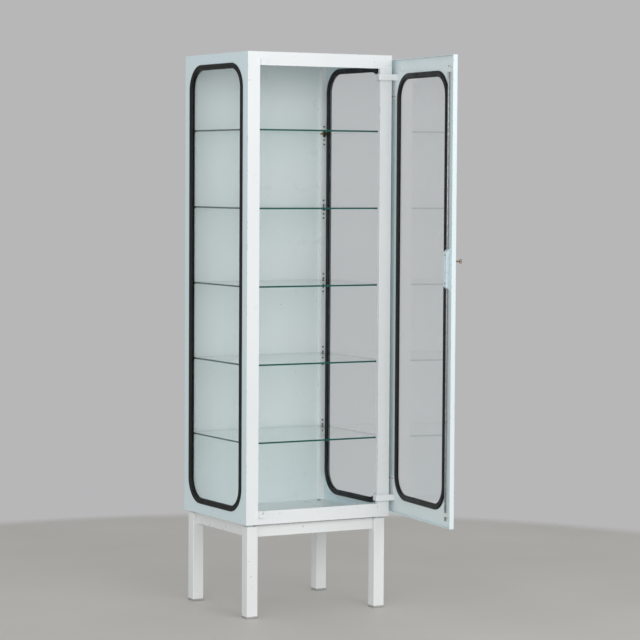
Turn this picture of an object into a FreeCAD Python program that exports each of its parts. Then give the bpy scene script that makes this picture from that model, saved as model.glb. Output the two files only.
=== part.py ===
import FreeCAD, Part
import math
import os
import Sketcher

# Medical cabinet of folded steel sheet on a tubular stand, glazed on both sides and in the door.
# The frame stands on the floor under the front left foot, with the front to -y and up to +z.
# Every piece is drawn from the middle of the body and set over from there.
# The door is kept standing open; its pieces are drawn closed and turned about the hinge pins.

os.makedirs("parts", exist_ok=True)
doc = FreeCAD.newDocument("medical_cabinet")
sheet = doc.addObject("Spreadsheet::Sheet", "Sizes")

XY = "XY_Plane"
XZ = "XZ_Plane"
YZ = "YZ_Plane"


class Term:
    """A size written for the sheet, with its present value."""

    def __init__(self, text, value):
        self.text = text
        self.value = float(value)

    def __add__(self, other):
        return joined(self, "+", other)

    def __radd__(self, other):
        return joined(other, "+", self)

    def __sub__(self, other):
        return joined(self, "-", other)

    def __rsub__(self, other):
        return joined(other, "-", self)

    def __mul__(self, other):
        return joined(self, "*", other)

    def __rmul__(self, other):
        return joined(other, "*", self)

    def __truediv__(self, other):
        return joined(self, "/", other)

    def __neg__(self):
        return joined(0, "-", self)


def term(number):
    """A number or a size as a size."""
    if isinstance(number, Term):
        return number
    return Term(str(number), number)


def joined(first, sign, second):
    """Two sizes joined by a sign."""
    first = term(first)
    second = term(second)
    text = "(" + first.text + " " + sign + " " + second.text + ")"
    if sign == "+":
        value = first.value + second.value
    elif sign == "-":
        value = first.value - second.value
    elif sign == "*":
        value = first.value * second.value
    else:
        value = first.value / second.value
    return Term(text, value)


def size(name, number):
    """A named size in the next row of the sheet."""
    size.row += 1
    sheet.set("A" + str(size.row), name)
    sheet.set("B" + str(size.row), str(number))
    sheet.setAlias("B" + str(size.row), name)
    return Term("Sizes." + name, number)


size.row = 0

# Body
body_wide = size("body_wide", 500)
body_deep = size("body_deep", 426)
body_tall = size("body_tall", 1430)
metal = size("sheet_thickness", 1.2)
stile_wide = size("stile_width", 41)
rail_tall = size("rail_height", 41)
frame_return = size("frame_return", 12)
floor_level = size("floor_level", 5.2)
overrun = size("cut_overrun", 1)

# Stand
stand_tall = size("stand_height", 287)
stand_gap = size("stand_gap", 6)
stand_inset = size("stand_inset", 9)
leg_side = size("leg_side", 37)
leg_wall = size("leg_wall", 2)
leg_round = size("leg_corner_radius", 3)
cap_thick = size("leg_cap_thickness", 3)
foot_tall = size("foot_height", 6)
foot_plug = size("foot_plug_height", 18)
foot_play = size("foot_plug_play", 0.2)
apron_tall = size("apron_height", 34)
apron_thick = size("apron_thickness", 20)
apron_wall = size("apron_wall", 1.5)
apron_setback = size("apron_setback", 15.5)
spacer_radius = size("spacer_radius", 11)
bolt_radius = size("bolt_radius", 3)
bolt_play = size("bolt_play", 0.3)
bolt_head = size("bolt_head_radius", 5.5)
bolt_rise = size("bolt_head_height", 3.6)
bolt_tail = size("bolt_tail", 8)

# Windows with rubber glazing profile
side_margin = size("side_window_margin", 32)
side_end = size("side_window_end_margin", 31)
side_round = size("side_window_radius", 78)
door_margin = size("door_window_margin", 55.5)
door_end = size("door_window_end_margin", 42.5)
door_round = size("door_window_radius", 77)
side_band = size("side_gasket_band", 17)
door_band = size("door_gasket_band", 18.5)
sheet_bite = size("gasket_sheet_bite", 8)
glass_edge = size("gasket_glass_edge", 10)
side_lip = size("side_gasket_lip", 3)
door_lip = size("door_gasket_lip", 4.5)
side_depth = size("side_gasket_depth", 12)
door_depth = size("door_gasket_depth", 6.5)
side_set = size("side_glass_setback", 5)
door_set = size("door_glass_proud", 3)
glass_thick = size("glass_thickness", 4)

# Shelves on pins in perforated uprights
shelf_first = size("first_shelf_level", 246)
shelf_last = size("top_shelf_drop", 234)
shelf_thick = size("shelf_thickness", 5)
shelf_side = size("shelf_side_gap", 15)
shelf_front = size("shelf_front_setback", 20)
shelf_rear = size("shelf_rear_gap", 16)
shelf_round = size("shelf_corner_radius", 4)
standard_wide = size("standard_width", 16.8)
standard_deep = size("standard_depth", 14)
standard_play = size("standard_end_play", 0.5)
hole_pitch = size("hole_pitch", 14.25)
hole_radius = size("hole_radius", 3)
pin_drop = size("pin_drop", 6)
pin_radius = size("pin_stem_radius", 2.7)
pin_stem = size("pin_stem_length", 4)
collar_radius = size("pin_collar_radius", 5)
collar_long = size("pin_collar_length", 2)
tongue_long = size("pin_tongue_length", 13.5)
tongue_wide = size("pin_tongue_width", 14)
tongue_thick = size("pin_tongue_thickness", 3)

# Door
door_side = size("door_side_reveal", 15)
door_reveal = size("door_end_reveal", 14)
door_gap = size("door_gap", 1.5)
pan_deep = size("door_pan_depth", 14)
open_angle = size("door_open_angle", 84)
hinge_inset = size("hinge_inset", 27)
hinge_deep = size("hinge_depth", 29)
hinge_flange = size("hinge_flange", 4.4)
hinge_relief = size("hinge_relief", 27)

# Hinges
arm_low = size("hinge_level", 50.25)
arm_drop = size("upper_hinge_drop", 76.75)
arm_tall = size("hinge_arm_height", 18.5)
arm_thick = size("hinge_arm_thickness", 4)
arm_reach = size("hinge_arm_reach", 16.8)
arm_heel = size("hinge_arm_heel", 14.5)
arm_span = size("hinge_arm_span", 37.5)
eye_radius = size("hinge_eye_radius", 6)
plate_tall = size("hinge_plate_height", 77)
plate_wide = size("hinge_plate_width", 42)
plate_thick = size("hinge_plate_thickness", 2.5)
hinge_pin = size("hinge_pin_radius", 3)
hinge_play = size("hinge_pin_play", 0.05)
ear_thick = size("bracket_ear_thickness", 3)
ear_gap = size("bracket_ear_gap", 0.6)
ear_half = size("bracket_ear_half_width", 6.5)
bracket_thick = size("bracket_thickness", 2.5)
bracket_wide = size("bracket_width", 19)
bracket_set = size("bracket_setback", 16)
pin_show = size("hinge_pin_show", 3)
screw_radius = size("screw_head_radius", 3.2)
screw_rise = size("screw_head_height", 0.8)
screw_crown = size("screw_crown_radius", 2.2)
screw_inset = size("hinge_screw_inset", 9)

# Espagnolette lock
rod_inset = size("rod_inset", 36.5)
rod_lift = size("rod_lift", 11)
rod_radius = size("rod_radius", 3)
rod_tip = size("rod_tip_length", 5)
rod_point = size("rod_tip_radius", 1.6)
rod_drop = size("upper_rod_tip_drop", 45)
rod_bottom = size("lower_rod_tip_level", 34)
channel_wide = size("rod_channel_width", 50.8)
channel_lift = size("rod_channel_lift", 5.5)
channel_end = size("rod_channel_end", 1.5)
key_level = size("key_level", 807)
case_below = size("lock_case_below", 86)
case_above = size("lock_case_above", 40)
case_wide = size("lock_case_width", 19)
case_rise = size("lock_case_rise", 13)
case_taper = size("lock_case_taper", 12)
case_end = size("lock_case_end_wall", 2.4)
rod_play = size("rod_play", 0.08)
pinion_radius = size("pinion_radius", 5.8)
pinion_thick = size("pinion_thickness", 4)
rack_near = size("rack_near_face", 6.2)
rack_far = size("rack_far_face", 8)
rack_lead = size("rack_lead", 14)
rack_lag = size("rack_lag", 18)
block_tall = size("rack_block_height", 4.5)
rod_start = size("rod_start", 9)
guide_wide = size("guide_width", 16)
guide_rise = size("guide_rise", 9)
guide_drop = size("upper_guide_drop", 64)
guide_top_tall = size("upper_guide_height", 15)
guide_foot_low = size("lower_guide_low_end", 48)
guide_foot_tall = size("lower_guide_height", 11)
keeper_wide = size("keeper_width", 20)
keeper_rise = size("keeper_rise", 9.5)
keeper_tall = size("keeper_height", 18)
keeper_low = size("lower_keeper_low_end", 22)
keeper_bore = size("keeper_bore_radius", 3.5)
fork_wide = size("keeper_fork_width", 9)
fork_tall = size("keeper_fork_height", 9)
fork_back = size("keeper_fork_back", 0.9)

# Key
key_hole = size("keyhole_radius", 3)
key_radius = size("key_shank_radius", 2.5)
key_collar = size("key_collar_radius", 3.6)
collar_thick = size("key_collar_thickness", 1.6)
collar_gap = size("key_collar_gap", 0.5)
bow_reach = size("key_bow_reach", 33)
bow_spread = size("key_bow_spread", 2.9)
bow_radius = size("key_bow_radius", 3.8)
bow_hole = size("key_bow_hole_radius", 2)
bow_thick = size("key_bow_thickness", 2.2)

# Planes of the body
front = -body_deep / 2
rear = body_deep / 2
side = body_wide / 2
base = stand_tall
crown = stand_tall + body_tall
middle = stand_tall + body_tall / 2
skin = front - door_gap - pan_deep
door_wide = body_wide - 2 * door_side
door_tall = body_tall - 2 * door_reveal
half_door = door_wide / 2
hinge_x = side - hinge_inset
hinge_y = front + hinge_deep
door_foot = middle - door_tall / 2
door_head = middle + door_tall / 2
leg_far = side - stand_inset
leg_near = leg_far - leg_side
leg_front = front + stand_inset
leg_rear = rear - stand_inset
leg_top = base - stand_gap
shift_x = leg_far - leg_side / 2
shift_y = -leg_front - leg_side / 2
cosine = Term("cos(" + open_angle.text + ")", math.cos(math.radians(open_angle.value)))
sine = Term("sin(" + open_angle.text + ")", math.sin(math.radians(open_angle.value)))

nodes = []
cuts = []


def bind(thing, prop, amount):
    """Tie one property to the sheet."""
    thing.setExpression(prop, term(amount).text)


def keep(name, thing, across=0, along=0):
    """One separate piece, under its own name and set over to the frame."""
    bind(thing, "Placement.Base.x", shift_x + across)
    bind(thing, "Placement.Base.y", shift_y + along)
    thing.Label = name
    nodes.append(thing)


def keep_open(name, thing):
    """A piece of the door, turned from its closed place about the hinge pins."""
    bind(thing, "Placement.Rotation.Angle", open_angle)
    across = hinge_x * (1 - cosine) + hinge_y * sine
    along = hinge_y * (1 - cosine) - hinge_x * sine
    keep(name, thing, across, along)


def on_side(sign, near, far):
    """The range of x between two distances from the middle, to the right or to the left."""
    if sign > 0:
        return near, far
    return -far, -near


def box(name, across, along, up):
    """A block between three pairs of planes."""
    block = doc.addObject("Part::Box", name)
    pairs = (("Length", "x", across), ("Width", "y", along), ("Height", "z", up))
    for prop, axis, (low, high) in pairs:
        bind(block, prop, high - low)
        bind(block, "Placement.Base." + axis, low)
    return block


def rod(name, axis, spot, radius, length, tip=None):
    """A round bar from a spot along an axis, or a cone where its far end has a radius of its own."""
    if tip is None:
        bar = doc.addObject("Part::Cylinder", name)
        bind(bar, "Radius", radius)
    else:
        bar = doc.addObject("Part::Cone", name)
        bind(bar, "Radius1", radius)
        bind(bar, "Radius2", tip)
    turns = {
        "x": FreeCAD.Rotation(FreeCAD.Vector(0, 1, 0), 90),
        "y": FreeCAD.Rotation(FreeCAD.Vector(1, 0, 0), -90),
        "z": FreeCAD.Rotation(),
    }
    bar.Placement = FreeCAD.Placement(FreeCAD.Vector(), turns[axis])
    bind(bar, "Height", length)
    for letter, amount in zip("xyz", spot):
        bind(bar, "Placement.Base." + letter, amount)
    return bar


def fused(name, pieces):
    """Pieces made in one."""
    whole = doc.addObject("Part::MultiFuse", name)
    whole.Shapes = pieces
    return whole


def grouped(name, pieces):
    """Equal loose pieces under one name."""
    group = doc.addObject("Part::Compound", name)
    group.Links = pieces
    return group


def less(name, block, tools):
    """A piece with others taken out of it."""
    result = doc.addObject("Part::Cut", name)
    result.Base = block
    result.Tool = tools[0] if len(tools) == 1 else grouped(name + "_tools", tools)
    cuts.append((block, result))
    return result


def vector(x, y):
    """A point in a sketch."""
    return FreeCAD.Vector(term(x).value, term(y).value, 0)


def dimension(drawing, kind, places, amount):
    """A sketch dimension tied to the sheet."""
    index = drawing.addConstraint(Sketcher.Constraint(kind, *places, term(amount).value))
    bind(drawing, "Constraints[" + str(index) + "]", amount)


def outline(drawing, points):
    """A closed loop of straight lines."""
    first = drawing.GeometryCount
    corners = [vector(x, y) for x, y in points]
    count = len(corners)
    for index, corner in enumerate(corners):
        drawing.addGeometry(Part.LineSegment(corner, corners[(index + 1) % count]), False)
    for index in range(count):
        following = first + (index + 1) % count
        drawing.addConstraint(Sketcher.Constraint("Coincident", first + index, 2, following, 1))
    for index, (x, y) in enumerate(points):
        dimension(drawing, "DistanceX", (-1, 1, first + index, 1), x)
        dimension(drawing, "DistanceY", (-1, 1, first + index, 1), y)


def rectangle(drawing, wide, tall):
    """A loop with square corners round the middle of the sketch."""
    outline(drawing, [
        (-wide / 2, -tall / 2),
        (wide / 2, -tall / 2),
        (wide / 2, tall / 2),
        (-wide / 2, tall / 2),
    ])


def rounded(drawing, wide, tall, radius):
    """A loop with round corners, in the middle of the sketch."""
    first = drawing.GeometryCount
    x = term(wide).value / 2
    y = term(tall).value / 2
    bend = term(radius).value
    near_x = x - bend
    near_y = y - bend
    lines = [
        ((-near_x, y), (near_x, y)),
        ((x, near_y), (x, -near_y)),
        ((near_x, -y), (-near_x, -y)),
        ((-x, -near_y), (-x, near_y)),
    ]
    for start, end in lines:
        drawing.addGeometry(Part.LineSegment(vector(*start), vector(*end)), False)
    quarters = [
        ((near_x, near_y), 0),
        ((near_x, -near_y), 270),
        ((-near_x, -near_y), 180),
        ((-near_x, near_y), 90),
    ]
    for spot, angle in quarters:
        circle = Part.Circle(vector(*spot), FreeCAD.Vector(0, 0, 1), bend)
        arc = Part.ArcOfCircle(circle, math.radians(angle), math.radians(angle + 90))
        drawing.addGeometry(arc, False)
    top, right, bottom, left, one, two, three, four = range(first, first + 8)
    meetings = [
        (top, 2, one, 2), (right, 1, one, 1), (right, 2, two, 2), (bottom, 1, two, 1),
        (bottom, 2, three, 2), (left, 1, three, 1), (left, 2, four, 2), (top, 1, four, 1),
    ]
    for meeting in meetings:
        drawing.addConstraint(Sketcher.Constraint("Tangent", *meeting))
    for line in (top, bottom):
        drawing.addConstraint(Sketcher.Constraint("Horizontal", line))
    for line in (right, left):
        drawing.addConstraint(Sketcher.Constraint("Vertical", line))
    for arc in (two, three, four):
        drawing.addConstraint(Sketcher.Constraint("Equal", one, arc))
    drawing.addConstraint(Sketcher.Constraint("Symmetric", one, 3, three, 3, -1, 1))
    dimension(drawing, "Radius", (one,), radius)
    dimension(drawing, "DistanceX", (left, 1, right, 1), wide)
    dimension(drawing, "DistanceY", (bottom, 1, top, 1), tall)


def disc(drawing, x, y, radius):
    """A round loop."""
    index = drawing.addGeometry(
        Part.Circle(vector(x, y), FreeCAD.Vector(0, 0, 1), term(radius).value), False)
    dimension(drawing, "DistanceX", (-1, 1, index, 3), x)
    dimension(drawing, "DistanceY", (-1, 1, index, 3), y)
    dimension(drawing, "Radius", (index,), radius)


def layer(body, plane, loops, low, high, centre=(0, 0), cut=False):
    """Material, or a cut, between two levels over one of the body's own planes."""
    drawing = body.newObject("Sketcher::SketchObject", body.Name + "_outline")
    support = [feature for feature in body.Origin.OriginFeatures if feature.Role == plane][0]
    drawing.AttachmentSupport = [(support, "")]
    drawing.MapMode = "FlatFace"
    bind(drawing, "AttachmentOffset.Base.x", centre[0])
    bind(drawing, "AttachmentOffset.Base.y", centre[1])
    bind(drawing, "AttachmentOffset.Base.z", -high if plane == XZ else low)
    for shape, *amounts in loops:
        shape(drawing, *amounts)
    before = body.Tip
    kind = "Pocket" if cut else "Pad"
    feature = body.newObject("PartDesign::" + kind, body.Name + "_" + kind.lower())
    feature.Profile = drawing
    bind(feature, "Length", high - low)
    if cut:
        feature.Reversed = True
        cuts.append((before, feature))
    return feature


def pad(name, plane, loops, low, high, centre=(0, 0)):
    """A body begun with one layer."""
    body = doc.addObject("PartDesign::Body", name)
    layer(body, plane, loops, low, high, centre)
    return body


# Stand: square tube legs with end caps, four aprons between them
cap_low = leg_top - cap_thick
corners = [
    ("front_left", -1, leg_front + leg_side / 2),
    ("front_right", 1, leg_front + leg_side / 2),
    ("rear_left", -1, leg_rear - leg_side / 2),
    ("rear_right", 1, leg_rear - leg_side / 2),
]
spacers = []
bolts = []
bore = leg_side - 2 * leg_wall
bolt_bore = bolt_radius + bolt_play
for corner, sign, leg_y in corners:
    leg_x = sign * (leg_far - leg_side / 2)
    centre = (leg_x, leg_y)
    tube = (rounded, leg_side, leg_side, leg_round)
    hollow = (rectangle, bore, bore)
    leg = pad("leg_" + corner, XY, [tube, hollow], foot_tall, cap_low, centre)
    layer(leg, XY, [tube, (disc, 0, 0, bolt_bore)], cap_low, leg_top, centre)
    keep("leg_" + corner, leg)
    foot = pad("foot_" + corner, XY, [tube], term(0), foot_tall, centre)
    plug = bore - 2 * foot_play
    layer(foot, XY, [(rectangle, plug, plug)], foot_tall, foot_tall + foot_plug, centre)
    keep("foot_" + corner, foot)
    bush_top = base + floor_level - metal
    bush = rod("bush", "z", (leg_x, leg_y, leg_top), spacer_radius, bush_top - leg_top)
    bush_hole = rod("bush_hole", "z", (leg_x, leg_y, leg_top - overrun), bolt_bore,
                    bush_top - leg_top + 2 * overrun)
    spacers.append(less("spacer", bush, [bush_hole]))
    tail = cap_low - bolt_tail
    seat = base + floor_level
    shank = rod("shank", "z", (leg_x, leg_y, tail), bolt_radius, seat - tail)
    head = rod("head", "z", (leg_x, leg_y, seat), bolt_head, bolt_rise)
    bolts.append(fused("bolt", [shank, head]))
keep("stand_spacers", grouped("stand_spacers", spacers))
keep("stand_bolts", grouped("stand_bolts", bolts))

apron_low = leg_top - apron_tall


def apron(name, plane, across, low, high):
    """A rectangular tube under the body, between two legs."""
    middle_across = (across[0] + across[1]) / 2
    outer = (rectangle, apron_thick, apron_tall)
    inner = (rectangle, apron_thick - 2 * apron_wall, apron_tall - 2 * apron_wall)
    centre = (middle_across, apron_low + apron_tall / 2)
    keep(name, pad(name, plane, [outer, inner], low, high, centre))


front_strip = leg_front + apron_setback
rear_strip = leg_rear - apron_setback
side_strip = leg_far - apron_setback
apron("apron_front", YZ, (front_strip, front_strip + apron_thick), -leg_near, leg_near)
apron("apron_rear", YZ, (rear_strip - apron_thick, rear_strip), -leg_near, leg_near)
side_start = leg_front + leg_side
side_end_y = leg_rear - leg_side
apron("apron_left", XZ, (-side_strip, apron_thick - side_strip), side_start, side_end_y)
apron("apron_right", XZ, (side_strip - apron_thick, side_strip), side_start, side_end_y)

# Body: folded floor pan, top, back, sides and front frame
inner_wide = body_wide - 2 * metal
inner_deep = body_deep - 2 * metal
pan_outer = (rectangle, inner_wide, inner_deep)
pan_inner = (rectangle, inner_wide - 2 * metal, inner_deep - 2 * metal)
floor_top = base + floor_level
floor = pad("floor_panel", XY, [pan_outer, pan_inner], base, floor_top - metal)
bolt_x = leg_far - leg_side / 2
bolt_y = leg_rear - leg_side / 2
bolt_holes = [(disc, x, y, bolt_bore) for x in (-bolt_x, bolt_x) for y in (-bolt_y, bolt_y)]
layer(floor, XY, [pan_outer] + bolt_holes, floor_top - metal, floor_top)
keep("floor_panel", floor)
keep("top_panel", pad("top_panel", XY, [(rectangle, inner_wide, inner_deep)], crown - metal, crown))
back_outline = (rectangle, inner_wide, body_tall)
keep("back_panel", pad("back_panel", XZ, [back_outline], rear - metal, rear, (0, middle)))

side_glass_wide = body_deep - 2 * side_margin
side_glass_tall = body_tall - 2 * side_end
door_glass_wide = door_wide - 2 * door_margin
door_glass_tall = door_tall - 2 * door_end


def window(wide, tall, radius, inset):
    """The loop of a window, a distance inside the outer line of its rubber."""
    return (rounded, wide - 2 * inset, tall - 2 * inset, radius - inset)


def glazing(name, plane, frame, wide, tall, radius, level, inward, profile):
    """Rubber profile round a window: a ring with a groove for the sheet and one for the glass."""
    band, lip, depth, set_in = profile
    outer = level - inward * lip
    inner = level + inward * depth
    groove = level + inward * metal
    glass_near = level + inward * set_in
    glass_far = glass_near + inward * glass_thick

    def between(one, other):
        """Two levels in rising order."""
        return (one, other) if inward > 0 else (other, one)

    ring = [window(wide, tall, radius, term(0)), window(wide, tall, radius, band)]
    slot = [window(wide, tall, radius, -overrun), window(wide, tall, radius, sheet_bite)]
    pane = [window(wide, tall, radius, glass_edge)]
    gasket = pad(name + "_gasket", plane, ring, *between(outer, inner), frame)
    layer(gasket, plane, slot, *between(level, groove), frame, cut=True)
    layer(gasket, plane, pane, *between(glass_near, glass_far), frame, cut=True)
    glass = pad(name + "_glass", plane, pane, *between(glass_near, glass_far), frame)
    return gasket, glass


for name, sign in (("left", -1), ("right", 1)):
    hole = window(side_glass_wide, side_glass_tall, side_round, sheet_bite)
    low_x, high_x = on_side(sign, side - metal, side)
    panel_deep = body_deep - metal
    panel_y = metal / 2
    sheet_outline = (rectangle, panel_deep, body_tall)
    panel = pad(name + "_side_panel", YZ, [sheet_outline], low_x, high_x, (panel_y, middle))
    layer(panel, YZ, [hole], low_x, high_x, (0, middle), cut=True)
    keep(name + "_side_panel", panel)
    gasket, glass = glazing(name, YZ, (0, middle), side_glass_wide, side_glass_tall, side_round,
                            sign * side, -sign, (side_band, side_lip, side_depth, side_set))
    keep(name + "_gasket", gasket)
    keep(name + "_glass", glass)
    edge = side - stile_wide
    face = [
        (sign * side, front),
        (sign * edge, front),
        (sign * edge, front + metal),
        (sign * side, front + metal),
    ]
    stile = pad(name + "_stile", XY, [(outline, face)], base, crown)
    fold = [
        (sign * (edge + metal), front + metal),
        (sign * edge, front + metal),
        (sign * edge, front + frame_return),
        (sign * (edge + metal), front + frame_return),
    ]
    layer(stile, XY, [(outline, fold)], base + rail_tall - metal, crown - rail_tall + metal)
    keep(name + "_stile", stile)

opening = side - stile_wide
for name, low, sign in (("bottom_rail", base, 1), ("top_rail", crown, -1)):
    edge = low + sign * rail_tall
    profile = [
        (front, low),
        (front, edge),
        (front + frame_return, edge),
        (front + frame_return, edge - sign * metal),
        (front + metal, edge - sign * metal),
        (front + metal, low),
    ]
    keep(name, pad(name, YZ, [(outline, profile)], -opening, opening))

# Shelf uprights: perforated channels, shelves and pins
standard_mid = side - metal - standard_wide / 2
shelf_pitch = (body_tall - shelf_first - shelf_last) / 4
pin_level = base + shelf_first - shelf_thick / 2 - pin_drop
pins = []
rows = (
    ("front", front + metal + standard_deep, -1),
    ("rear", rear - metal - standard_deep, 1),
)
for place, web, open_side in rows:
    for name, sign in (("left", -1), ("right", 1)):
        half = standard_wide / 2
        centre_x = sign * standard_mid
        foot_y = web + open_side * standard_deep
        profile = [
            (centre_x - half, foot_y),
            (centre_x - half, web),
            (centre_x + half, web),
            (centre_x + half, foot_y),
            (centre_x + half - metal, foot_y),
            (centre_x + half - metal, web + open_side * metal),
            (centre_x - half + metal, web + open_side * metal),
            (centre_x - half + metal, foot_y),
        ]
        label = "standard_" + place + "_" + name
        ends = (floor_top + standard_play, crown - metal - standard_play)
        channel = pad(label + "_channel", XY, [(outline, profile)], *ends)
        start = web - overrun if open_side > 0 else web - metal - overrun
        drills = []
        for shelf in range(5):
            for step in range(-2, 3):
                level = pin_level + shelf * shelf_pitch + step * hole_pitch
                spot = (centre_x, start, level)
                drills.append(rod("perforation", "y", spot, hole_radius, metal + 2 * overrun))
        keep(label, less(label, channel, drills))
        for shelf in range(5):
            level = pin_level + shelf * shelf_pitch
            out = -open_side
            ends = {
                "stem": (web, web - out * pin_stem),
                "collar": (web, web + out * collar_long),
                "tongue": (web, web + out * (collar_long + tongue_long)),
            }
            for key, pair in ends.items():
                ends[key] = pair if pair[0].value < pair[1].value else (pair[1], pair[0])
            stem = rod("stem", "y", (centre_x, ends["stem"][0], level), pin_radius,
                       ends["stem"][1] - ends["stem"][0])
            collar = rod("collar", "y", (centre_x, ends["collar"][0], level), collar_radius,
                         ends["collar"][1] - ends["collar"][0])
            across = on_side(sign, standard_mid - tongue_wide, standard_mid + pin_radius)
            seat = level + pin_drop
            tongue = box("tongue", across, ends["tongue"], (seat - tongue_thick, seat))
            stem_wide = (centre_x - pin_radius, centre_x + pin_radius)
            neck = box("neck", stem_wide, ends["collar"], (level, seat))
            pins.append(fused("pin", [stem, collar, neck, tongue]))
keep("shelf_pins", grouped("shelf_pins", pins))

shelf_wide = body_wide - 2 * shelf_side
shelf_deep = body_deep - shelf_front - shelf_rear
shelf_y = front + shelf_front + shelf_deep / 2
for number in range(5):
    name = "shelf_" + str(number + 1)
    low = base + shelf_first + number * shelf_pitch - shelf_thick / 2
    loop = (rounded, shelf_wide, shelf_deep, shelf_round)
    keep(name, pad(name, XY, [loop], low, low + shelf_thick, (0, shelf_y)))

# Door: folded pan with a window, a raised strip for the lock rods and rubber-set glass
lock_x = rod_inset - half_door
lock_z = base + key_level
rod_y = skin + rod_lift
rim_inner = (rectangle, door_wide - 2 * metal, door_tall - 2 * metal)
rim_outer = (rectangle, door_wide, door_tall)
door_centre = (0, middle)
pan = pad("door_pan", XZ, [rim_outer, rim_inner], skin, front - door_gap, door_centre)
layer(pan, XZ, [rim_outer], skin, skin + metal, door_centre)
hole = window(door_glass_wide, door_glass_tall, door_round, sheet_bite)
layer(pan, XZ, [hole], skin - overrun, skin + metal + overrun, door_centre, cut=True)
layer(pan, XZ, [(disc, 0, 0, key_hole)], skin - overrun, skin + metal + overrun,
      (lock_x, lock_z), cut=True)
relief_x = hinge_x - hinge_relief
relief_far = half_door + overrun
relief_y = skin + hinge_flange
relief_end = front - door_gap + overrun
relief = [(relief_x, relief_y), (relief_far, relief_y), (relief_far, relief_end), (relief_x, relief_end)]
layer(pan, XY, [(outline, relief)], door_foot - overrun, door_head + overrun, cut=True)
keep_open("door_pan", pan)

strip_far = metal - half_door
strip_near = strip_far + channel_wide
strip_top = skin + channel_lift
profile = [
    (strip_far, skin + metal),
    (strip_far, strip_top),
    (strip_near, strip_top),
    (strip_near, skin + metal),
    (strip_near - metal, skin + metal),
    (strip_near - metal, strip_top - metal),
    (strip_far + metal, strip_top - metal),
    (strip_far + metal, skin + metal),
]
strip = pad("door_rod_channel", XY, [(outline, profile)], door_foot + channel_end, door_head - channel_end)
layer(strip, XZ, [(disc, 0, 0, key_hole)], strip_top - metal - overrun, strip_top + overrun,
      (lock_x, lock_z), cut=True)
keep_open("door_rod_channel", strip)

gasket, glass = glazing("door", XZ, door_centre, door_glass_wide, door_glass_tall, door_round,
                        skin, 1, (door_band, door_lip, door_depth, -door_set))
keep_open("door_gasket", gasket)
keep_open("door_glass", glass)

# Hinges: bent arms on the door, brackets and pins on the body
screws = []
for name, low, sign in (("lower", base + arm_low, 1), ("upper", crown - arm_drop, -1)):
    high = low + arm_tall
    half = arm_thick / 2
    bend_y = hinge_y + arm_reach
    inner_x = hinge_x - arm_span
    seat_y = skin + metal
    plate_low = low if sign > 0 else high - plate_tall
    plate_high = plate_low + plate_tall
    plate_x = inner_x - half
    eye = rod("eye", "z", (hinge_x, hinge_y, low), eye_radius, arm_tall)
    heel_x = hinge_x - arm_heel
    neck = [
        (plate_x, seat_y),
        (plate_x, bend_y + half),
        (heel_x, bend_y + half),
        (hinge_x + half, hinge_y + half),
        (hinge_x - half, hinge_y - half),
        (heel_x - half, bend_y - half),
        (inner_x + half, bend_y - half),
        (inner_x + half, seat_y),
    ]
    arm = pad("bent_arm", XY, [(outline, neck)], low, high)
    plate_y = seat_y + plate_thick
    plate = box("plate", (plate_x, plate_x + plate_wide), (seat_y, plate_y), (plate_low, plate_high))
    whole = fused("hinge_arm", [eye, arm, plate])
    pin_bore = hinge_pin + hinge_play
    bore = rod("eye_bore", "z", (hinge_x, hinge_y, low - overrun), pin_bore, arm_tall + 2 * overrun)
    keep_open("hinge_arm_" + name, less("hinge_arm_" + name, whole, [bore]))
    for screw_x in (inner_x + half + screw_inset, plate_x + plate_wide - screw_inset):
        for screw_z in (plate_low + screw_inset, plate_high - screw_inset):
            spot = (screw_x, plate_y, screw_z)
            screws.append(rod("screw", "y", spot, screw_radius, screw_rise, screw_crown))
    ear_low = low - ear_gap - ear_thick
    ear_high = high + ear_gap + ear_thick
    wall = side - metal
    leaf_x = wall - bracket_thick
    leaf_y = front + bracket_set
    leaf = box("bracket_plate", (leaf_x, wall), (leaf_y, leaf_y + bracket_wide), (ear_low, ear_high))
    pieces = [leaf]
    ear_along = (hinge_y - ear_half, hinge_y + ear_half)
    for ear in (ear_low, high + ear_gap):
        pieces.append(box("ear", (hinge_x, leaf_x), ear_along, (ear, ear + ear_thick)))
        pieces.append(rod("ear_end", "z", (hinge_x, hinge_y, ear), ear_half, ear_thick))
    whole = fused("hinge_bracket", pieces)
    bore = rod("ear_bore", "z", (hinge_x, hinge_y, ear_low - overrun), pin_bore,
               ear_high - ear_low + 2 * overrun)
    keep("hinge_bracket_" + name, less("hinge_bracket_" + name, whole, [bore]))
    pin = rod("hinge_pin", "z", (hinge_x, hinge_y, ear_low - pin_show), hinge_pin,
              ear_high - ear_low + 2 * pin_show)
    keep("hinge_pin_" + name, grouped("hinge_pin_" + name, [pin]))
keep_open("hinge_screws", grouped("hinge_screws", screws))

# Lock: case over a pinion that drives two rods apart
case_low = lock_z - case_below
case_high = lock_z + case_above
case_face = strip_top + case_rise
case_left = lock_x - case_wide / 2
case_right = lock_x + case_wide / 2
profile = [
    (strip_top, case_low),
    (case_face, case_low + case_taper),
    (case_face, case_high - case_taper),
    (strip_top, case_high),
]
case = pad("lock_case", YZ, [(outline, profile)], case_left, case_right)
room_face = case_face - metal
room_taper = case_taper * (case_rise - metal) / case_rise
profile = [
    (strip_top, case_low + case_end),
    (room_face, case_low + case_end + room_taper),
    (room_face, case_high - case_end - room_taper),
    (strip_top, case_high - case_end),
]
layer(case, YZ, [(outline, profile)], case_left + metal, case_right - metal, cut=True)
rod_bore = rod_radius + rod_play
layer(case, XY, [(disc, lock_x, rod_y, rod_bore)], case_low - overrun, case_high + overrun, cut=True)
keep_open("lock_case", case)

lock_screws = []
for screw_z in (case_low + case_taper + screw_inset, case_high - case_taper - screw_inset):
    spot = (lock_x, case_face, screw_z)
    lock_screws.append(rod("lock_screw", "y", spot, screw_radius, screw_rise, screw_crown))
keep_open("lock_screws", grouped("lock_screws", lock_screws))

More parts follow.
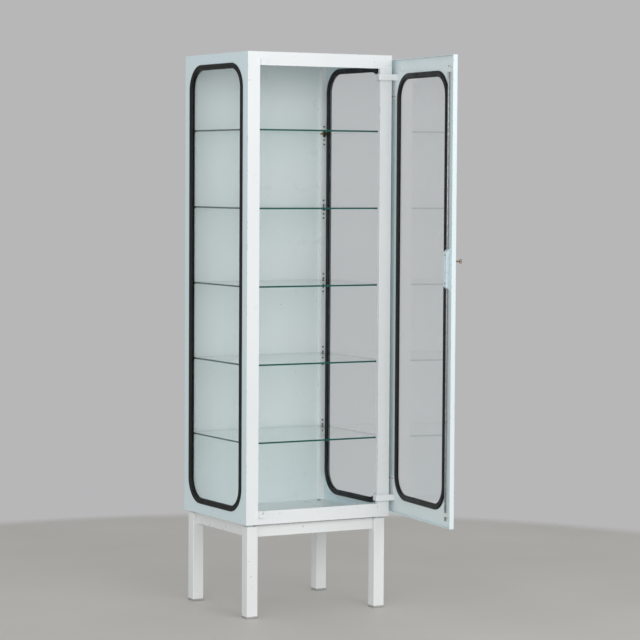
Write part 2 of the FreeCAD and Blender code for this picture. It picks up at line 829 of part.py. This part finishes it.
pinion_low = rod_y - pinion_thick / 2
pinion_high = rod_y + pinion_thick / 2
pinion = rod("pinion", "y", (lock_x, pinion_low, lock_z), pinion_radius, pinion_thick)
spot = (lock_x, pinion_low - overrun, lock_z)
bore = rod("pinion_bore", "y", spot, key_radius, pinion_thick + 2 * overrun)
keep_open("lock_pinion", less("lock_pinion", pinion, [bore]))

rack_depth = (pinion_low, pinion_high)
rack_end = lock_z + rack_lead
start = lock_z + rod_start
end = crown - rod_drop - rod_tip
bar = rod("upper_bar", "z", (lock_x, rod_y, start), rod_radius, end - start)
point = rod("upper_point", "z", (lock_x, rod_y, end), rod_radius, rod_tip, rod_point)
rack_x = lock_x + rack_far
rack = box("upper_rack", (lock_x + rack_near, rack_x), rack_depth, (lock_z - rack_lag, rack_end))
block = box("upper_block", (lock_x, rack_x), rack_depth, (rack_end - block_tall, rack_end))
keep_open("upper_rod", fused("upper_rod", [bar, point, rack, block]))

end = lock_z - rod_start
foot = base + rod_bottom
bar = rod("lower_bar", "z", (lock_x, rod_y, foot + rod_tip), rod_radius, end - foot - rod_tip)
point = rod("lower_point", "z", (lock_x, rod_y, foot), rod_point, rod_tip, rod_radius)
rack_x = lock_x - rack_far
rack_end = lock_z - rack_lead
rack = box("lower_rack", (rack_x, lock_x - rack_near), rack_depth, (rack_end, lock_z + rack_lag))
block = box("lower_block", (rack_x, lock_x), rack_depth, (rack_end, rack_end + block_tall))
keep_open("lower_rod", fused("lower_rod", [bar, point, rack, block]))

guides = (
    ("upper", crown - guide_drop, guide_top_tall),
    ("lower", base + guide_foot_low, guide_foot_tall),
)
for name, low, tall in guides:
    across = (lock_x - guide_wide / 2, lock_x + guide_wide / 2)
    guide = box("guide", across, (strip_top, strip_top + guide_rise), (low, low + tall))
    bore = rod("guide_bore", "z", (lock_x, rod_y, low - overrun), rod_bore, tall + 2 * overrun)
    keep_open("rod_guide_" + name, less("rod_guide_" + name, guide, [bore]))

# Keepers on the front frame, the lower one open to the front above its hole
for name, low in (("lower", base + keeper_low), ("upper", crown - rail_tall)):
    high = low + keeper_tall
    across = (lock_x - keeper_wide / 2, lock_x + keeper_wide / 2)
    block = box("keeper", across, (front - keeper_rise, front), (low, high))
    spot = (lock_x, rod_y, low - overrun)
    tools = [rod("keeper_bore", "z", spot, keeper_bore, keeper_tall + 2 * overrun)]
    if name == "lower":
        across = (lock_x - fork_wide / 2, lock_x + fork_wide / 2)
        along = (front - keeper_rise - overrun, front - fork_back)
        tools.append(box("fork", across, along, (high - fork_tall, high + overrun)))
    keep("keeper_" + name, less("keeper_" + name, block, tools))

# Key in the lock
bow_y = skin - bow_reach
shank_y = bow_y + bow_hole
shank = rod("key_shank", "y", (lock_x, shank_y, lock_z), key_radius, pinion_high - shank_y)
collar_y = skin - collar_gap - collar_thick
collar = rod("key_collar", "y", (lock_x, collar_y, lock_z), key_collar, collar_thick)
lobes = []
holes = []
for sign in (-1, 1):
    lobe_z = lock_z + sign * bow_spread
    lobe_x = lock_x - bow_thick / 2
    lobes.append(rod("bow", "x", (lobe_x, bow_y, lobe_z), bow_radius, bow_thick))
    holes.append(rod("bow_hole", "x", (lobe_x - overrun, bow_y, lobe_z), bow_hole, bow_thick + 2 * overrun))
bow = less("key_bow", fused("lobes", lobes), holes)
keep_open("key", fused("key", [shank, collar, bow]))

# Everything is checked before anything is written
doc.recompute()
for thing in doc.Objects:
    if "Invalid" in thing.State or "Error" in thing.State:
        raise RuntimeError(thing.Label + " is " + ", ".join(thing.State))
for thing in nodes:
    if thing.Shape.isNull() or not thing.Shape.isValid() or not thing.Shape.Solids:
        raise RuntimeError(thing.Label + " has no valid solid")
for before, after in cuts:
    if not after.Shape.Volume < before.Shape.Volume:
        raise RuntimeError(after.Label + " cuts nothing")
for thing in nodes:
    thing.Shape.exportStep("parts/" + thing.Label + ".step")
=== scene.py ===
import bpy
import bmesh
import math
from mathutils import Matrix, Vector


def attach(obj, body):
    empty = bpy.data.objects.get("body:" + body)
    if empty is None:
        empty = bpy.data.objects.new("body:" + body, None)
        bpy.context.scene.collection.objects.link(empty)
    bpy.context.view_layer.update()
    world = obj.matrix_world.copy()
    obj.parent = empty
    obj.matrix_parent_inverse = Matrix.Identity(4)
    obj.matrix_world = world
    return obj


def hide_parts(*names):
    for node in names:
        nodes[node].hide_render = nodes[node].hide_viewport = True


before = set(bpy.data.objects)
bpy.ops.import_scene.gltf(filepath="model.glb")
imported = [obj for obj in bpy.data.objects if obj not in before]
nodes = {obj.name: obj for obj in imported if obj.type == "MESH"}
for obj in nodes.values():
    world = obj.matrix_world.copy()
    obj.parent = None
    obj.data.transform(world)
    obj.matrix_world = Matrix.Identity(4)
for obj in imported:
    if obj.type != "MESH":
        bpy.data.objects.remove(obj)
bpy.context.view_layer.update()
scene = bpy.context.scene

# Sizes in metres. Places are measured from the middle of the body, on the floor
MM = 0.001
BODY_WIDE = 0.500
BODY_DEEP = 0.426
BODY_TALL = 1.430
STAND_TALL = 0.287
LEG_INSET = 0.0275

# The plane of the body's front, and the height of its middle
FRONT = -BODY_DEEP / 2
MIDDLE = STAND_TALL + BODY_TALL / 2

# Added to such a place to have it in the frame, whose origin is under the front left foot
SHIFT = Vector((BODY_WIDE / 2 - LEG_INSET, BODY_DEEP / 2 - LEG_INSET, 0.0))

# The door, its outer face when closed, and the hinge line that it opens on
DOOR_WIDE = 0.470
DOOR_TALL = 1.402
DOOR_SKIN = FRONT - 0.0155
PIVOT = Vector((BODY_WIDE / 2 - 0.027, FRONT + 0.029, 0.0))
OPEN = math.radians(84)

# Groups of pieces
CORNERS = ("front_left", "front_right", "rear_left", "rear_right")
SIDES = ("front", "rear", "left", "right")
ENDS = ("lower", "upper")
SHELVES = ["shelf_%d" % number for number in range(1, 6)]
FEET = ["foot_" + corner for corner in CORNERS]
LEGS = ["leg_" + corner for corner in CORNERS]
UPRIGHTS = ["standard_" + corner for corner in CORNERS]
APRONS = ["apron_" + side for side in SIDES]
HINGE_ARMS = ["hinge_arm_" + end for end in ENDS]
HINGE_BRACKETS = ["hinge_bracket_" + end for end in ENDS]
HINGE_PINS = ["hinge_pin_" + end for end in ENDS]
KEEPERS = ["keeper_" + end for end in ENDS]
ROD_GUIDES = ["rod_guide_" + end for end in ENDS]
SIDE_PANELS = ["left_side_panel", "right_side_panel"]
FRONT_FRAME = ["left_stile", "right_stile", "top_rail", "bottom_rail"]
DOOR_SHEETS = ["door_pan", "door_rod_channel"]


def opened(point):
    """A point of the closed door, from the middle of the body, at its place on the open door."""
    offset = Vector(point) - PIVOT
    return Matrix.Rotation(OPEN, 3, "Z") @ offset + PIVOT + SHIFT


# Helpers for node trees
def tree(name):
    """An empty material, its node tree and its output node."""
    material = bpy.data.materials.new(name)
    material.use_nodes = True
    nt = material.node_tree
    nt.nodes.clear()
    return material, nt, node(nt, "OutputMaterial")


def node(nt, kind, **settings):
    """A new node with some of its settings."""
    made = nt.nodes.new("ShaderNode" + kind)
    for key, value in settings.items():
        setattr(made, key, value)
    return made


def coords(nt, stretch=(1, 1, 1)):
    """Places on the piece itself in metres, which move with it."""
    mapping = node(nt, "Mapping")
    mapping.inputs["Scale"].default_value = stretch
    nt.links.new(node(nt, "TexCoord").outputs["Object"], mapping.inputs["Vector"])
    return mapping.outputs["Vector"]


def noise(nt, where, scale, detail=3.0, rough=0.5):
    """Noise from 0 to 1, with so many cells to a metre."""
    cells = node(nt, "TexNoise")
    cells.inputs["Scale"].default_value = scale
    cells.inputs["Detail"].default_value = detail
    cells.inputs["Roughness"].default_value = rough
    nt.links.new(where, cells.inputs["Vector"])
    return cells.outputs["Fac"]


def grey(value):
    """A grey as a colour of four parts."""
    return (value, value, value, 1)


def solid(colour, share=1.0):
    """A colour of three parts as one of four, darkened to a share of itself."""
    return tuple(part * share for part in colour) + (1,)


def ramp(nt, factor, *stops):
    """A colour ramp. Each stop is a position and a grey value or a colour."""
    band = node(nt, "ValToRGB")
    elements = band.color_ramp.elements
    elements.remove(elements[1])
    for index, (position, value) in enumerate(stops):
        if index == 0:
            element = elements[0]
            element.position = position
        else:
            element = elements.new(position)
        element.color = value if isinstance(value, tuple) else grey(value)
    nt.links.new(factor, band.inputs["Fac"])
    return band.outputs["Color"]


def rise(nt, factor, start, end, top=1.0):
    """0 up to the start, and the top value from the end on."""
    return ramp(nt, factor, (start, 0.0), (end, top))


def feed(nt, socket, value):
    """Sets a socket to a number or colour, or links something to it."""
    if isinstance(value, (int, float, tuple)):
        socket.default_value = value
    else:
        nt.links.new(value, socket)


def math_node(nt, operation, *values):
    """A Math node of numbers and links."""
    made = node(nt, "Math", operation=operation)
    for socket, value in zip(made.inputs, values):
        feed(nt, socket, value)
    return made.outputs[0]


def mix(nt, factor, first, second):
    """The first colour where the factor is 0, and the second where it is 1."""
    blend = node(nt, "Mix", data_type="RGBA")
    factor_socket, first_socket, second_socket = (blend.inputs[index] for index in (0, 6, 7))
    feed(nt, factor_socket, factor)
    feed(nt, first_socket, first)
    feed(nt, second_socket, second)
    return blend.outputs[2]


def mix_shader(nt, factor, first, second):
    """The first shader where the factor is 0, and the second where it is 1."""
    both = node(nt, "MixShader")
    for socket, source in zip(both.inputs, (factor, first, second)):
        nt.links.new(source, socket)
    return both.outputs[0]


def principled(nt, linked, plain=None):
    """A Principled shader with some sockets linked and some set to a number."""
    shader = node(nt, "BsdfPrincipled")
    for name, source in linked.items():
        nt.links.new(source, shader.inputs[name])
    for name, value in (plain or {}).items():
        shader.inputs[name].default_value = value
    return shader.outputs[0]


def bump(nt, height, strength, distance, under=None):
    """A bumped normal, laid over another one if it is given."""
    bumps = node(nt, "Bump")
    bumps.inputs["Strength"].default_value = strength
    bumps.inputs["Distance"].default_value = distance
    nt.links.new(height, bumps.inputs["Height"])
    if under is not None:
        nt.links.new(under, bumps.inputs["Normal"])
    return bumps.outputs["Normal"]


# Masks on the enamel: how far chips reach from an edge, and the insides of the four uprights, as the
# middle and half size of each range. The first is measured from the middle of the body, the others
# in the frame
CHIP_REACH = 0.0016
CAVITY_ASIDE = (0.2404, 0.0076)
CAVITY_REAR = (0.3910, 0.0067)
CAVITY_FRONT = (-0.0195, 0.0066)
CAVITY_LEVEL = (1.0038, 0.7122)


def edge_mask(nt):
    """Near 1 along the edges of a piece, found from a rounded normal."""
    rounded = node(nt, "Bevel", samples=4)
    rounded.inputs["Radius"].default_value = CHIP_REACH
    agreement = node(nt, "VectorMath", operation="DOT_PRODUCT")
    nt.links.new(rounded.outputs["Normal"], agreement.inputs[0])
    nt.links.new(node(nt, "NewGeometry").outputs["True Normal"], agreement.inputs[1])
    return ramp(nt, agreement.outputs["Value"], (0.80, 1.0), (0.985, 0.0))


def within(nt, value, middle, half):
    """1 where a value lies near a middle value, else 0."""
    return math_node(nt, "COMPARE", value, middle, half)


def upright_painted_shade(nt, where):
    """1 inside the four uprights and on the panel faces within their outline, where near-black shade is
    painted, else 0.
    """
    split = node(nt, "SeparateXYZ")
    nt.links.new(where, split.inputs[0])
    x, y, z = split.outputs
    aside = math_node(nt, "ABSOLUTE", math_node(nt, "SUBTRACT", x, SHIFT.x))
    rows = math_node(nt, "MAXIMUM", within(nt, y, *CAVITY_REAR), within(nt, y, *CAVITY_FRONT))
    footprint = math_node(nt, "MULTIPLY", within(nt, aside, *CAVITY_ASIDE), rows)
    return math_node(nt, "MULTIPLY", footprint, within(nt, z, *CAVITY_LEVEL))


# Materials
ENAMEL_ROUGH = 0.26
# Near black: the painted shade inside the uprights and on the panel faces within them
PAINTED_CAVITY_SHADE = (0.03, 0.03, 0.032, 1)
RUST_DARK = (0.10, 0.085, 0.075, 1)
RUST_LIGHT = (0.24, 0.15, 0.09, 1)
GLASS_IOR = 1.45
GLASS_SHADE = 0.97
RIM_OPAQUE = 0.92


def chipped(nt, where, wear):
    """1 where the enamel is chipped: in spots along the edges, and in fine specks all over."""
    spot_start = 0.60 - 0.06 * wear
    speck_start = 0.775 - 0.012 * wear
    spots = rise(nt, noise(nt, where, 55.0, 5, 0.7), spot_start, spot_start + 0.04)
    specks = rise(nt, noise(nt, where, 120.0, 2, 0.5), speck_start, speck_start + 0.015)
    along_edges = math_node(nt, "MULTIPLY", edge_mask(nt), spots)
    return math_node(nt, "MAXIMUM", along_edges, math_node(nt, "MULTIPLY", specks, 0.8))


def enamel(name, tint, wear, shade_hollows=False):
    """Gloss enamel on sheet steel, a little uneven, with chips down to rusty metal, and near-black painted
    shade inside the uprights where asked.
    """
    material, nt, out = tree(name)
    where = coords(nt)
    cloud = rise(nt, noise(nt, where, 2.3, 4), 0.3, 0.7)
    bright = tuple(min(part * 1.012, 1) for part in tint)
    colour = mix(nt, cloud, solid(tint, 0.965), solid(bright))
    stain = rise(nt, noise(nt, where, 9.0, 6, 0.65), 0.64, 0.82, 0.12)
    colour = mix(nt, stain, colour, (tint[0] * 0.86, tint[1] * 0.85, tint[2] * 0.80, 1))
    chips = chipped(nt, where, wear)
    rust = mix(nt, noise(nt, where, 200.0, 2), RUST_DARK, RUST_LIGHT)
    colour = mix(nt, chips, colour, rust)
    # Painted shade: near black inside the uprights and on the panel faces within them
    if shade_hollows:
        colour = mix(nt, upright_painted_shade(nt, where), colour, PAINTED_CAVITY_SHADE)
    gloss = noise(nt, where, 14.0, 5, 0.6)
    roughness = ramp(nt, gloss, (0.3, ENAMEL_ROUGH), (0.75, ENAMEL_ROUGH + 0.13))
    wave = bump(nt, noise(nt, where, 11.0, 2), 0.18, 0.0012)
    peel = bump(nt, noise(nt, where, 520.0, 2), 0.10, 0.0001, wave)
    pits = bump(nt, math_node(nt, "SUBTRACT", 1.0, chips), 0.5, 0.00012, peel)
    shader = principled(
        nt,
        {"Base Color": colour, "Roughness": mix(nt, chips, roughness, grey(0.7)), "Normal": pits},
        {"Coat Weight": 0.35, "Coat Roughness": 0.12},
    )
    nt.links.new(shader, out.inputs["Surface"])
    return material


def rubber(name):
    """Black rubber, dull and faintly dusty."""
    material, nt, out = tree(name)
    where = coords(nt)
    dust = noise(nt, where, 60.0, 5, 0.7)
    colour = ramp(
        nt,
        dust,
        (0.35, (0.006, 0.006, 0.0065, 1)),
        (0.64, (0.011, 0.011, 0.0115, 1)),
        (0.82, (0.035, 0.035, 0.035, 1)),
    )
    roughness = ramp(nt, noise(nt, where, 35.0, 4), (0.3, 0.34), (0.7, 0.52))
    grain = bump(nt, noise(nt, where, 900.0, 3), 0.25, 0.0001)
    shader = principled(
        nt,
        {"Base Color": colour, "Roughness": roughness, "Normal": grain},
        {"Specular IOR Level": 0.22},
    )
    nt.links.new(shader, out.inputs["Surface"])
    return material


def glass(name, tint, loss, edge=None):
    """Clear glass that lets lamps through, with a green ground edge where one is given."""
    material, nt, out = tree(name)
    smear = rise(nt, noise(nt, coords(nt), 6.0, 6, 0.6), 0.45, 0.8, 0.05)
    plain = {"IOR": GLASS_IOR}
    if edge is None:
        plain["Base Color"] = solid(tint)
        plain["Transmission Weight"] = 1.0
        linked = {"Roughness": smear}
    else:
        split = node(nt, "SeparateXYZ")
        nt.links.new(node(nt, "TexCoord").outputs["Normal"], split.inputs[0])
        upward = math_node(nt, "ABSOLUTE", split.outputs[2])
        rim = ramp(nt, upward, (0.45, 1.0), (0.55, 0.0))
        linked = {
            "Base Color": mix(nt, rim, solid(tint), solid(edge)),
            "Roughness": mix(nt, rim, smear, grey(0.22)),
            "Transmission Weight": math_node(
                nt, "SUBTRACT", 1.0, math_node(nt, "MULTIPLY", rim, RIM_OPAQUE)
            ),
        }
    body = principled(nt, linked, plain)
    glance = node(nt, "Fresnel")
    glance.inputs["IOR"].default_value = GLASS_IOR
    lost = math_node(nt, "MULTIPLY", glance.outputs[0], loss)
    clear = node(nt, "BsdfTransparent")
    nt.links.new(mix(nt, lost, solid(tint, GLASS_SHADE), grey(0.0)), clear.inputs["Color"])
    shadow = node(nt, "LightPath").outputs["Is Shadow Ray"]
    nt.links.new(mix_shader(nt, shadow, body, clear.outputs[0]), out.inputs["Surface"])
    return material


def metal(name, tint, worn, rough, stretch=(1, 1, 0.05), metallic=1.0):
    """Blotched metal with fine scratches, drawn out along z unless told otherwise."""
    material, nt, out = tree(name)
    blotch = rise(nt, noise(nt, coords(nt), 90.0, 5, 0.65), 0.35, 0.72)
    scratches = noise(nt, coords(nt, stretch), 700.0, 3)
    shader = principled(
        nt,
        {
            "Base Color": mix(nt, blotch, solid(tint), solid(worn)),
            "Roughness": ramp(nt, scratches, (0.3, rough), (0.75, rough + 0.18)),
            "Normal": bump(nt, scratches, 0.2, 0.00008),
        },
        {"Metallic": metallic},
    )
    nt.links.new(shader, out.inputs["Surface"])
    return material


def plastic(name, tint, rough):
    """Moulded plastic, scuffed in places."""
    material, nt, out = tree(name)
    where = coords(nt)
    scuff = rise(nt, noise(nt, where, 70.0, 5, 0.7), 0.45, 0.75)
    scuffed = tuple(part * 0.7 + 0.03 for part in tint)
    shader = principled(
        nt,
        {
            "Base Color": mix(nt, scuff, solid(tint), solid(scuffed)),
            "Roughness": ramp(nt, scuff, (0.0, rough), (1.0, rough + 0.2)),
            "Normal": bump(nt, noise(nt, where, 600.0, 3), 0.2, 0.0001),
        },
    )
    nt.links.new(shader, out.inputs["Surface"])
    return material


# The body, inside and door enamels stand for the frame's white paint. Their cyan tint is painted bluish
# daylight. The body's and door's darker tone is painted shade on faces turned to the left, and the inside's
# lighter tone is painted light.
paint_body_painted_daylight = enamel("enamel_body_painted_daylight", (0.72, 0.85, 0.885), wear=0.5)
paint_inside_painted_daylight = enamel("enamel_inside_painted_daylight", (0.83, 0.905, 0.915), wear=0.3, shade_hollows=True)
paint_upright = enamel("enamel_standard", (0.95, 0.965, 0.97), wear=0.2, shade_hollows=True)
paint_frame = enamel("enamel_frame", (0.86, 0.882, 0.887), wear=0.7)
paint_stand = enamel("enamel_stand", (0.855, 0.875, 0.872), wear=1.7)
paint_door_painted_daylight = enamel("enamel_door_painted_daylight", (0.755, 0.85, 0.868), wear=0.6)
black = rubber("black_rubber_dressed")
pane = glass("window_glass_dressed", (0.955, 0.985, 0.985), loss=0.5)
plate = glass("shelf_glass_dressed", (0.93, 0.975, 0.96), loss=0.1, edge=(0.004, 0.095, 0.078))
zinc = metal("zinc_dressed", (0.80, 0.91, 0.94), (0.66, 0.77, 0.80), rough=0.26, metallic=0.1)
steel = metal("steel_dressed", (0.40, 0.41, 0.42), (0.20, 0.20, 0.20), rough=0.24)
brass = metal("brass_dressed", (0.38, 0.285, 0.145), (0.14, 0.10, 0.055), rough=0.24, stretch=(1, 1, 1))
foot_grey = plastic("foot_plastic_dressed", (0.40, 0.40, 0.395), rough=0.5)
guide_white = plastic("guide_plastic_dressed", (0.80, 0.82, 0.81), rough=0.4)

COATS = {
    paint_body_painted_daylight: SIDE_PANELS,
    paint_inside_painted_daylight: ["back_panel", "top_panel", "floor_panel"],
    paint_upright: UPRIGHTS,
    paint_frame: FRONT_FRAME + HINGE_BRACKETS + KEEPERS + HINGE_ARMS,
    paint_stand: LEGS + APRONS,
    paint_door_painted_daylight: DOOR_SHEETS,
    black: ["left_gasket", "right_gasket", "door_gasket"],
    pane: ["left_glass", "right_glass", "door_glass"],
    plate: SHELVES,
    zinc: ["lock_case", "stand_spacers"] + HINGE_PINS,
    steel: ["upper_rod", "lower_rod", "lock_screws", "hinge_screws", "stand_bolts"],
    brass: ["key", "lock_pinion", "shelf_pins"],
    foot_grey: FEET,
    guide_white: ROD_GUIDES,
}
for coat, names in COATS.items():
    for name in names:
        slots = nodes[name].data.materials
        slots.clear()
        slots.append(coat)

# Rounded edges on the CAD pieces, as modifiers
SHEET_EDGE = 0.0005
FITTING_EDGE = 0.0006
FOOT_EDGE = 0.0010
SHARP = math.radians(30)
EDGES = {
    SHEET_EDGE: SIDE_PANELS + ["back_panel", "top_panel"] + FRONT_FRAME + DOOR_SHEETS,
    FITTING_EDGE: HINGE_ARMS + HINGE_BRACKETS + KEEPERS + ROD_GUIDES + ["lock_case", "key"] + SHELVES,
    FOOT_EDGE: FEET,
}


def soften(name, width):
    """Rounds the sharp edges of a CAD piece."""
    rounding = nodes[name].modifiers.new("edges", "BEVEL")
    rounding.width = width
    rounding.segments = 2
    rounding.limit_method = "ANGLE"
    rounding.angle_limit = SHARP
    rounding.harden_normals = False


for width, names in EDGES.items():
    for name in names:
        soften(name, width)


# Rubber profiles round the three windows
def mesh_object(name, verts, faces, coat):
    """A smooth closed mesh with its faces turned outward."""
    mesh = bpy.data.meshes.new(name)
    mesh.from_pydata([tuple(vert) for vert in verts], [], faces)
    mesh.update()
    bm = bmesh.new()
    bm.from_mesh(mesh)
    bmesh.ops.recalc_face_normals(bm, faces=bm.faces)
    bm.to_mesh(mesh)
    bm.free()
    mesh.shade_smooth()
    thing = bpy.data.objects.new(name, mesh)
    scene.collection.objects.link(thing)
    mesh.materials.append(coat)
    return thing


CORNER_STEPS = 14


def round_loop(wide, tall, radius):
    """Points of a rectangle with round corners, in order."""
    points = []
    for x_sign, y_sign, start in ((1, 1, 0), (-1, 1, 90), (-1, -1, 180), (1, -1, 270)):
        for step in range(CORNER_STEPS + 1):
            angle = math.radians(start + 90 * step / CORNER_STEPS)
            points.append((x_sign * (wide / 2 - radius) + radius * math.cos(angle),
                           y_sign * (tall / 2 - radius) + radius * math.sin(angle)))
    return points


def profile_ring(name, wide, tall, radius, section, place):
    """A rubber section carried round a window, which place puts on its panel."""
    loops = []
    for inset, depth in section:
        edge = inset * MM
        loop = round_loop(wide - 2 * edge, tall - 2 * edge, radius - edge)
        loops.append([place(along, up, depth * MM) for along, up in loop])
    verts = [vert for loop in loops for vert in loop]
    count = len(loops[0])
    faces = []
    for ring in range(len(loops)):
        following = (ring + 1) % len(loops)
        for index in range(count):
            after = (index + 1) % count
            faces.append((ring * count + index, ring * count + after,
                          following * count + after, following * count + index))
    return mesh_object(name, verts, faces, black)


def side_place(sign):
    """Puts a point on the left (-1) or right (1) side, its depth counted inward from the outer face."""
    def place(along, up, depth):
        return SHIFT + Vector((sign * (BODY_WIDE / 2 - depth), along, MIDDLE + up))
    return place


def door_place(along, up, depth):
    """Puts a point on the open door, its depth counted inward from the door's outer face."""
    return opened((along, DOOR_SKIN + depth, MIDDLE + up))


# Sections of the rubber in millimetres: inset from its outline, and depth inward from the outer face.
# Each goes from the groove for the sheet round the outer lip to the groove for the glass, and back
# round the inner lip
SIDE_SECTION = [
    (8, 0.02), (0.3, 0.0), (0, -0.6), (0.5, -1.9), (2.0, -2.8), (4.2, -3.0), (6.6, -2.7), (7.8, -1.9),
    (8.4, -0.9), (9.0, -1.9), (10.2, -2.7), (12.6, -2.9), (15.2, -2.7), (16.6, -1.6), (17, 0.6), (17, 4.98),
    (10, 4.98), (10, 9.02), (17, 9.02), (16.95, 10.6), (16.2, 11.6), (14.4, 12), (10.8, 11.95), (9.6, 11.3),
    (8.4, 11.3), (7.2, 11.95), (4.0, 12), (1.6, 11.4), (0.4, 9.8), (0, 7.0), (0, 2.6), (0.3, 1.22), (8, 1.2),
]
DOOR_SECTION = [
    (8, 0.02), (0.3, 0.0), (0, -0.7), (0.4, -2.2), (1.8, -3.6), (4.2, -4.3), (6.8, -4.2), (8.2, -3.5),
    (9.6, -4.2), (11.8, -4.5), (16.4, -4.5), (18.0, -4.2), (18.5, -3.7), (18.5, -3.02), (10, -3.02),
    (10, 1.02), (18.5, 1.02), (18.5, 3.8), (17.9, 5.1), (16.2, 6.0), (12.8, 6.4), (10.8, 6.3), (9.6, 5.6),
    (8.6, 5.6), (7.6, 6.3), (5.8, 6.5), (3.2, 5.9), (1.2, 4.2), (0.3, 2.4), (0.3, 1.22), (8, 1.2),
]

# From the edges of a side or of the door to the outline of the rubber, and its corner radius
SIDE_MARGIN = 0.032
SIDE_END_MARGIN = 0.031
SIDE_RADIUS = 0.078
DOOR_MARGIN = 0.0555
DOOR_END_MARGIN = 0.0425
DOOR_RADIUS = 0.077

for name, sign in (("left", -1), ("right", 1)):
    ring = profile_ring(name + "_window_rubber", BODY_DEEP - 2 * SIDE_MARGIN,
                        BODY_TALL - 2 * SIDE_END_MARGIN, SIDE_RADIUS, SIDE_SECTION, side_place(sign))
    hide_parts(name + "_gasket")
    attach(ring, "cabinet")
ring = profile_ring("door_window_rubber", DOOR_WIDE - 2 * DOOR_MARGIN,
                    DOOR_TALL - 2 * DOOR_END_MARGIN, DOOR_RADIUS, DOOR_SECTION, door_place)
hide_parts("door_gasket")
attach(ring, "door")

# The floor, a pale disc that fades out towards its rim
FLOOR_RADIUS = 2.25
FLOOR_DROP = 0.0005
FADE_START = 2.05
FADE_END = 2.175
FADE_SCALE = 0.2
FLOOR_DARK = (0.60, 0.575, 0.535, 1)
FLOOR_LIGHT = (0.64, 0.615, 0.575, 1)


def floor_material():
    """A pale warm floor, clear towards the rim of the disc."""
    material, nt, out = tree("stage_floor")
    tone = noise(nt, coords(nt), 1.6, 3)
    surface = principled(
        nt,
        {"Base Color": ramp(nt, tone, (0.3, FLOOR_DARK), (0.7, FLOOR_LIGHT))},
        {"Roughness": 0.55},
    )
    away = node(nt, "VectorMath", operation="LENGTH")
    nt.links.new(node(nt, "TexCoord").outputs["Object"], away.inputs[0])
    scaled = math_node(nt, "MULTIPLY", away.outputs["Value"], FADE_SCALE)
    fade = rise(nt, scaled, FADE_START * FADE_SCALE, FADE_END * FADE_SCALE)
    clear = node(nt, "BsdfTransparent").outputs[0]
    nt.links.new(mix_shader(nt, fade, surface, clear), out.inputs["Surface"])
    return material


bm = bmesh.new()
bmesh.ops.create_circle(bm, cap_ends=True, radius=FLOOR_RADIUS, segments=128)
floor_mesh = bpy.data.meshes.new("floor")
bm.to_mesh(floor_mesh)
bm.free()
floor = bpy.data.objects.new("floor", floor_mesh)
floor.location = SHIFT - Vector((0, 0, FLOOR_DROP))
scene.collection.objects.link(floor)
floor_mesh.materials.append(floor_material())

# The studio: a grey backdrop to look at, a paler one for light, and four soft lamps
BACKDROP_SEEN = (0.475, 0.472, 0.480, 1)
BACKDROP_LIGHT = (0.545, 0.56, 0.57, 1)


def background(nt, colour):
    """An even backdrop of one colour."""
    light = node(nt, "Background")
    light.inputs["Color"].default_value = colour
    return light.outputs[0]


world = bpy.data.worlds.new("studio")
scene.world = world
world.use_nodes = True
nt = world.node_tree
nt.nodes.clear()
path = node(nt, "LightPath").outputs
seen_or_mirrored = math_node(nt, "MAXIMUM", path["Is Camera Ray"], path["Is Glossy Ray"])
seen = math_node(nt, "MAXIMUM", seen_or_mirrored, path["Is Transmission Ray"])
both = mix_shader(nt, seen, background(nt, BACKDROP_LIGHT), background(nt, BACKDROP_SEEN))
nt.links.new(both, node(nt, "OutputWorld").inputs["Surface"])


def lamp(name, place, target, size, power):
    """A rectangular soft lamp of so many watts, itself not seen, nor through glass."""
    data = bpy.data.lights.new(name, "AREA")
    data.shape = "RECTANGLE"
    data.size, data.size_y = size
    data.energy = power
    thing = bpy.data.objects.new(name, data)
    thing.location = Vector(place) + SHIFT
    aim = Vector(target) - Vector(place)
    thing.rotation_euler = aim.to_track_quat("-Z", "Y").to_euler()
    thing.visible_camera = False
    thing.visible_transmission = False
    scene.collection.objects.link(thing)


lamp("front", (-0.2, -5.0, 1.9), (0, 0, 1.0), (1.8, 1.8), 55)
lamp("right", (1.1, -4.8, 2.5), (0, 0, 1.0), (1.8, 2.0), 20)
lamp("left", (-3.0, -4.4, 1.9), (0.1, -0.3, 1.0), (2.4, 2.4), 53)
lamp("far_left", (-4.8, -1.8, 1.3), (0, 0, 0.9), (2.4, 2.4), 21)

# The photograph's camera. The focal length is in pixels of a picture 640 wide. The angles are in
# radians: yaw to the right of straight at the front, pitch up, and roll
PICTURE_WIDE = 640
FOCAL_PIXELS = 2533.3
SENSOR_WIDE = 36
CAMERA_PLACE = Vector((-3.7475, -6.9785, 1.3438))
YAW = 0.506
PITCH = -0.0567
ROLL = 0.0058

camera_data = bpy.data.cameras.new("camera")
camera_data.sensor_width = SENSOR_WIDE
camera_data.lens = FOCAL_PIXELS * SENSOR_WIDE / PICTURE_WIDE
camera_data.clip_end = 60
camera = bpy.data.objects.new("camera", camera_data)
ahead = Vector((math.sin(YAW) * math.cos(PITCH), math.cos(YAW) * math.cos(PITCH), math.sin(PITCH)))
right = Vector((math.cos(YAW), -math.sin(YAW), 0))
up = right.cross(ahead)
across = math.cos(ROLL) * right + math.sin(ROLL) * up
upward = math.cos(ROLL) * up - math.sin(ROLL) * right
turned = Matrix((across, upward, -ahead)).transposed().to_4x4()
camera.matrix_world = Matrix.Translation(CAMERA_PLACE + SHIFT) @ turned
scene.collection.objects.link(camera)
scene.camera = camera
scene.view_settings.view_transform = "Standard"
